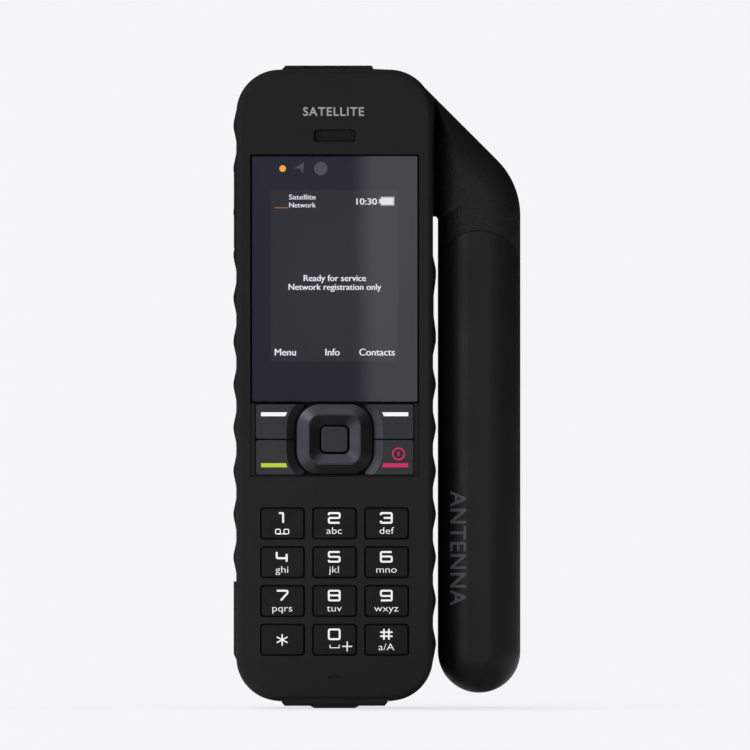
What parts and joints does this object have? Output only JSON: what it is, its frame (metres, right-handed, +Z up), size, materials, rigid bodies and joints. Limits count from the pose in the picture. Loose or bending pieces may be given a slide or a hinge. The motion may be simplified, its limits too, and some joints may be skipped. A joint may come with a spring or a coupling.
{
  "type": "satellite phone",
  "caption": "Rugged bar satellite phone with a wavy rubber-sided body, keypad, window display and a thick side antenna that swings on a shoulder hinge.",
  "frame": {"origin": "centre of the phone's flat rear rest face at mid height of the handset", "axes": "+X to the phone's right seen from the front, +Z up towards the earpiece, +Y out of the rear rest face; the keypad looks along -Y"},
  "size_m": [0.0754, 0.0359, 0.1685],
  "materials": {
    "front_shell": "soft-touch black moulding with a fine satin texture",
    "rear_shell": "textured black glass-filled moulding",
    "grip_rubber": "dull overmoulded rubber",
    "cover_rubber": "flexible cover rubber",
    "seal_rubber": "grey sealing elastomer",
    "window_glass": "hard-coated smoked window",
    "display_panel": "liquid crystal panel in a metal frame",
    "keycap": "black key caps with light printed marks",
    "nav_keycap": "charcoal satin key caps",
    "silicone_mat": "translucent grey silicone",
    "dome_metal": "bare spring steel",
    "board": "green solder mask laminate",
    "shield_metal": "tinned sheet",
    "mesh_metal": "black woven mesh",
    "speaker_frame": "black speaker frame",
    "motor_metal": "drawn steel can",
    "tungsten": "sintered heavy metal",
    "contact_gold": "gold plated spring contacts",
    "connector_metal": "plated connector shell",
    "screw_steel": "blackened steel",
    "bushing_bronze": "oiled bronze",
    "shaft_steel": "turned stainless steel",
    "battery_wrap": "dark battery case with a pale label",
    "sim_steel": "stamped stainless sheet",
    "card_plastic": "white card with a contact pad",
    "arm_rubber": "leather-grained rubber skin",
    "radome_plastic": "smooth satin black radome",
    "helix_former": "pale former with copper strips",
    "coax_jacket": "brown-black cable jacket",
    "sos_red": "red key cap"
  },
  "bodies": {
    "handset": {"front_housing": "front_shell", "rear_housing": "rear_shell", "housing_seal": "seal_rubber", "left_grip": "grip_rubber", "right_grip": "grip_rubber", "display_window": "window_glass", "display_module": "display_panel", "keypad_mat": "silicone_mat", "dome_switches": "dome_metal", "main_board": "board", "shield_cans": "shield_metal", "earpiece_speaker": "speaker_frame", "earpiece_mesh": "mesh_metal", "loudspeaker": "speaker_frame", "microphone": "speaker_frame", "vibration_motor": "motor_metal", "battery_contacts": "contact_gold", "headset_jack": "speaker_frame", "antenna_socket": "connector_metal", "usb_connector": "connector_metal", "housing_screws": "screw_steel", "hinge_bushing": "bushing_bronze"},
    "antenna": {"antenna_arm": "arm_rubber", "antenna_radome": "radome_plastic", "antenna_helix": "helix_former", "antenna_coax": "coax_jacket", "hinge_shaft": "shaft_steel", "hinge_nut": "shaft_steel"},
    "battery_door": {"battery_cover": "rear_shell", "battery_cover_seal": "seal_rubber"},
    "battery_cover_screw": {"battery_cover_screw": "screw_steel"},
    "battery_pack": {"battery_pack": "battery_wrap"},
    "sim_drawer": {"sim_holder": "sim_steel", "sim_card": "card_plastic"},
    "vibration_weight": {"vibration_weight": "tungsten"},
    "nav_carrier": {"nav_carrier": "dome_metal"},
    "nav_ring": {"nav_ring": "nav_keycap"},
    "nav_select_key": {"nav_select_key": "nav_keycap"},
    "volume_rocker": {"volume_rocker": "grip_rubber"},
    "tracking_key": {"tracking_key": "grip_rubber"},
    "sos_cover": {"sos_cover": "cover_rubber"},
    "sos_button": {"sos_button": "sos_red"},
    "side_port_cover": {"side_port_cover": "cover_rubber"},
    "usb_cover": {"usb_cover": "cover_rubber"},
    "key_1": {"key_1": "keycap"},
    "key_2": {"key_2": "keycap"},
    "key_3": {"key_3": "keycap"},
    "key_4": {"key_4": "keycap"},
    "key_5": {"key_5": "keycap"},
    "key_6": {"key_6": "keycap"},
    "key_7": {"key_7": "keycap"},
    "key_8": {"key_8": "keycap"},
    "key_9": {"key_9": "keycap"},
    "key_star": {"key_star": "keycap"},
    "key_0": {"key_0": "keycap"},
    "key_hash": {"key_hash": "keycap"},
    "soft_key_left": {"soft_key_left": "nav_keycap"},
    "soft_key_right": {"soft_key_right": "nav_keycap"},
    "call_key": {"call_key": "nav_keycap"},
    "end_key": {"end_key": "nav_keycap"}
  },
  "joints": [
    {"name": "key_1_press", "type": "slide", "parent": "handset", "child": "key_1", "axis": [0, 1, 0], "range_m": [0, 0.0005], "stiffness_N_per_m": 600},
    {"name": "key_2_press", "type": "slide", "parent": "handset", "child": "key_2", "axis": [0, 1, 0], "range_m": [0, 0.0005], "stiffness_N_per_m": 600},
    {"name": "key_3_press", "type": "slide", "parent": "handset", "child": "key_3", "axis": [0, 1, 0], "range_m": [0, 0.0005], "stiffness_N_per_m": 600},
    {"name": "key_4_press", "type": "slide", "parent": "handset", "child": "key_4", "axis": [0, 1, 0], "range_m": [0, 0.0005], "stiffness_N_per_m": 600},
    {"name": "key_5_press", "type": "slide", "parent": "handset", "child": "key_5", "axis": [0, 1, 0], "range_m": [0, 0.0005], "stiffness_N_per_m": 600},
    {"name": "key_6_press", "type": "slide", "parent": "handset", "child": "key_6", "axis": [0, 1, 0], "range_m": [0, 0.0005], "stiffness_N_per_m": 600},
    {"name": "key_7_press", "type": "slide", "parent": "handset", "child": "key_7", "axis": [0, 1, 0], "range_m": [0, 0.0005], "stiffness_N_per_m": 600},
    {"name": "key_8_press", "type": "slide", "parent": "handset", "child": "key_8", "axis": [0, 1, 0], "range_m": [0, 0.0005], "stiffness_N_per_m": 600},
    {"name": "key_9_press", "type": "slide", "parent": "handset", "child": "key_9", "axis": [0, 1, 0], "range_m": [0, 0.0005], "stiffness_N_per_m": 600},
    {"name": "key_star_press", "type": "slide", "parent": "handset", "child": "key_star", "axis": [0, 1, 0], "range_m": [0, 0.0005], "stiffness_N_per_m": 600},
    {"name": "key_0_press", "type": "slide", "parent": "handset", "child": "key_0", "axis": [0, 1, 0], "range_m": [0, 0.0005], "stiffness_N_per_m": 600},
    {"name": "key_hash_press", "type": "slide", "parent": "handset", "child": "key_hash", "axis": [0, 1, 0], "range_m": [0, 0.0005], "stiffness_N_per_m": 600},
    {"name": "soft_key_left_press", "type": "slide", "parent": "handset", "child": "soft_key_left", "axis": [0, 1, 0], "range_m": [0, 0.0005], "stiffness_N_per_m": 600},
    {"name": "soft_key_right_press", "type": "slide", "parent": "handset", "child": "soft_key_right", "axis": [0, 1, 0], "range_m": [0, 0.0005], "stiffness_N_per_m": 600},
    {"name": "call_key_press", "type": "slide", "parent": "handset", "child": "call_key", "axis": [0, 1, 0], "range_m": [0, 0.0005], "stiffness_N_per_m": 600},
    {"name": "end_key_press", "type": "slide", "parent": "handset", "child": "end_key", "axis": [0, 1, 0], "range_m": [0, 0.0005], "stiffness_N_per_m": 600},
    {"name": "nav_select_key_press", "type": "slide", "parent": "handset", "child": "nav_select_key", "axis": [0, 1, 0], "range_m": [0, 0.0005], "stiffness_N_per_m": 600},
    {"name": "nav_up_down", "type": "hinge", "parent": "handset", "child": "nav_carrier", "pos_m": [0, -0.03045, -0.01397], "axis": [1, 0, 0], "range_deg": [-2, 2], "stiffness_Nm_per_rad": 0.5},
    {"name": "nav_left_right", "type": "hinge", "parent": "nav_carrier", "child": "nav_ring", "pos_m": [0, -0.03165, -0.01397], "axis": [0, 0, 1], "range_deg": [-2, 2], "stiffness_Nm_per_rad": 0.5},
    {"name": "volume_rock", "type": "hinge", "parent": "handset", "child": "volume_rocker", "pos_m": [0.0232, -0.0146, 0.02117], "axis": [0, 1, 0], "range_deg": [-2.5, 2.5], "stiffness_Nm_per_rad": 0.5},
    {"name": "tracking_key_press", "type": "slide", "parent": "handset", "child": "tracking_key", "axis": [1, 0, 0], "range_m": [0, 0.0005], "stiffness_N_per_m": 600},
    {"name": "sos_cover_open", "type": "hinge", "parent": "handset", "child": "sos_cover", "pos_m": [-0.0018, -0.0099, 0.0824], "axis": [-1, 0, 0], "range_deg": [0, 95]},
    {"name": "sos_button_press", "type": "slide", "parent": "handset", "child": "sos_button", "axis": [0, 0, -1], "range_m": [0, 0.0006], "stiffness_N_per_m": 600},
    {"name": "side_port_cover_open", "type": "hinge", "parent": "handset", "child": "side_port_cover", "pos_m": [-0.02573, -0.0089, -0.0615], "axis": [0, 0, -1], "range_deg": [0, 95]},
    {"name": "usb_cover_open", "type": "hinge", "parent": "handset", "child": "usb_cover", "pos_m": [0, -0.0104, -0.08215], "axis": [1, 0, 0], "range_deg": [0, 95]},
    {"name": "battery_cover_lift", "type": "slide", "parent": "handset", "child": "battery_door", "axis": [0, 1, 0], "range_m": [0, 0.04]},
    {"name": "battery_lift", "type": "slide", "parent": "handset", "child": "battery_pack", "axis": [0, 1, 0], "range_m": [0, 0.031]},
    {"name": "sim_holder_swing", "type": "hinge", "parent": "handset", "child": "sim_drawer", "pos_m": [-0.00815, -0.0144, -0.0245], "axis": [0, 0, 1], "range_deg": [0, 90.5]},
    {"name": "battery_screw_turn", "type": "hinge", "parent": "battery_door", "child": "battery_cover_screw", "pos_m": [0, -0.001, -0.0643], "axis": [0, 1, 0], "continuous": true},
    {"name": "vibration_spin", "type": "hinge", "parent": "handset", "child": "vibration_weight", "pos_m": [-0.0033, -0.0105, -0.073], "axis": [1, 0, 0], "continuous": true},
    {"name": "antenna_swing", "type": "hinge", "parent": "handset", "child": "antenna", "pos_m": [0.0262, -0.0135, 0.061], "axis": [1, 0, 0], "range_deg": [0, 180]}
  ],
  "couplings": [
    {"joint": "battery_lift", "follows": "battery_cover_lift", "ratio": 0.75},
    {"joint": "sim_holder_swing", "follows": "battery_cover_lift", "rad_per_m": 39.27}
  ]
}
